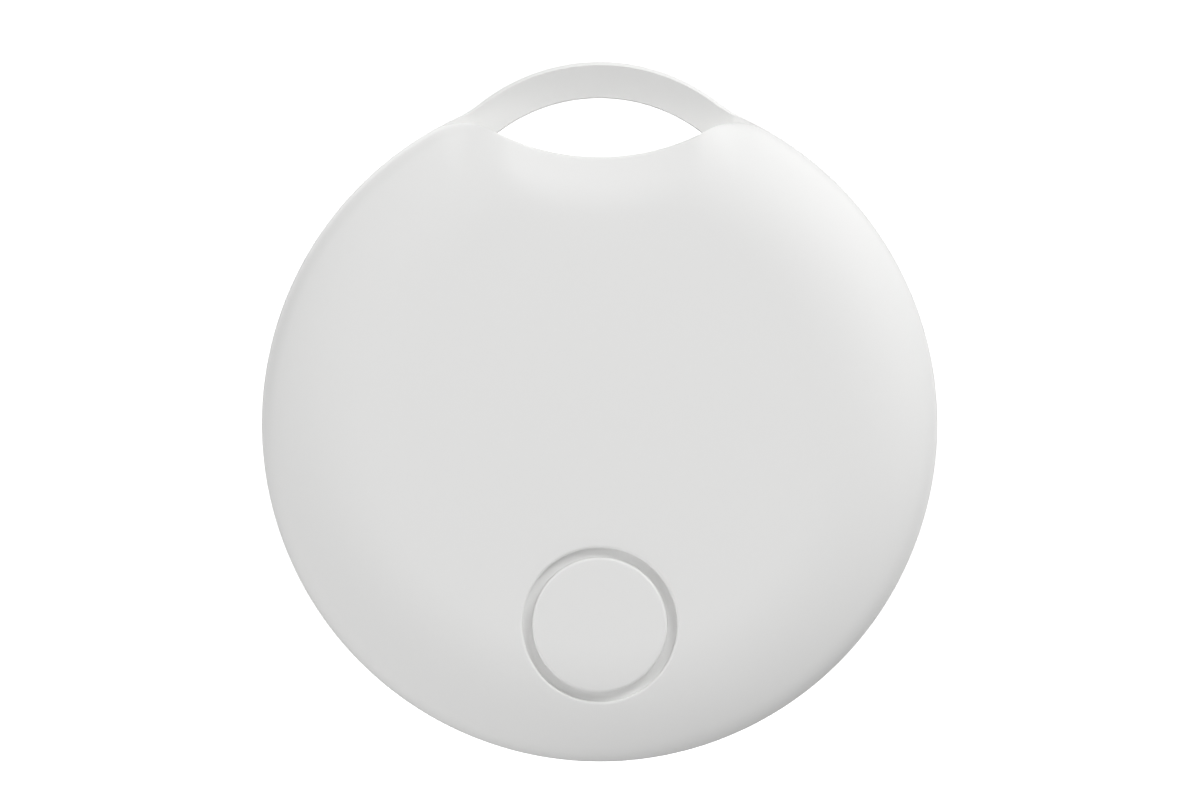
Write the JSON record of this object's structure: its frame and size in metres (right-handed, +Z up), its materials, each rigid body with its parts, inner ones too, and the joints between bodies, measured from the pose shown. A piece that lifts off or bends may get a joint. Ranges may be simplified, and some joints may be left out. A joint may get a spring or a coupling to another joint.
{
  "type": "bluetooth tracker tag",
  "caption": "Round domed tracker tag with a moulded carrying loop, a press button on its face and a coin-cell door behind.",
  "frame": {"origin": "centre of the round body on its flat rear face", "axes": "+Z up towards the carrying loop, +Y out of the flat rear face, the domed front looks along -Y, +X to the right seen from the front"},
  "size_m": [0.04, 0.008, 0.0414],
  "materials": {
    "case_white": "fine satin texture, white moulded plastic",
    "soft_white": "matte white silicone",
    "seal_grey": "dark silicone sealing ring",
    "chassis_black": "black moulded plastic",
    "cell_steel": "nickel-plated steel",
    "cell_seal": "dark polypropylene",
    "contact_metal": "gold-plated spring metal",
    "board_green": "solder-masked glass laminate",
    "screw_steel": "zinc-plated steel",
    "chip_black": "moulded chip package",
    "capacitor_tan": "fired ceramic",
    "crystal_can": "plated metal lid",
    "antenna_ceramic": "pale fired ceramic",
    "plate_brass": "rolled brass",
    "piezo_ceramic": "silvered ceramic",
    "adhesive_black": "adhesive foam",
    "lead_red": "insulated wire",
    "switch_metal": "stainless steel cover",
    "plunger_black": "moulded plunger"
  },
  "bodies": {
    "tag": {"front_shell": "case_white", "rear_shell": "case_white", "button_seal": "soft_white", "battery_chassis": "chassis_black", "cell_can": "cell_steel", "cell_cap": "cell_steel", "cell_gasket": "cell_seal", "positive_contacts": "contact_metal", "negative_contact": "contact_metal", "main_board": "board_green", "board_screws": "screw_steel", "radio_chip": "chip_black", "chip_capacitors": "capacitor_tan", "chip_resistors": "chip_black", "main_crystal": "crystal_can", "clock_crystal": "crystal_can", "motion_sensor": "chip_black", "power_inductor": "chip_black", "sounder_driver": "chip_black", "chip_antenna": "antenna_ceramic", "sounder_adhesive": "adhesive_black", "sounder_plate": "plate_brass", "sounder_ceramic": "piezo_ceramic", "sounder_leads": "lead_red", "switch_housing": "switch_metal", "snap_disc": "switch_metal"},
    "button": {"button_cap": "case_white", "switch_plunger": "plunger_black"},
    "door": {"battery_door": "case_white", "door_gasket": "seal_grey"}
  },
  "joints": [
    {"name": "button_press", "type": "slide", "parent": "tag", "child": "button", "axis": [0, 1, 0], "range_m": [0, 0.0002], "stiffness_N_per_m": 4000},
    {"name": "door_lift", "type": "slide", "parent": "tag", "child": "door", "axis": [0, 1, 0], "range_m": [0, 0.012]}
  ]
}
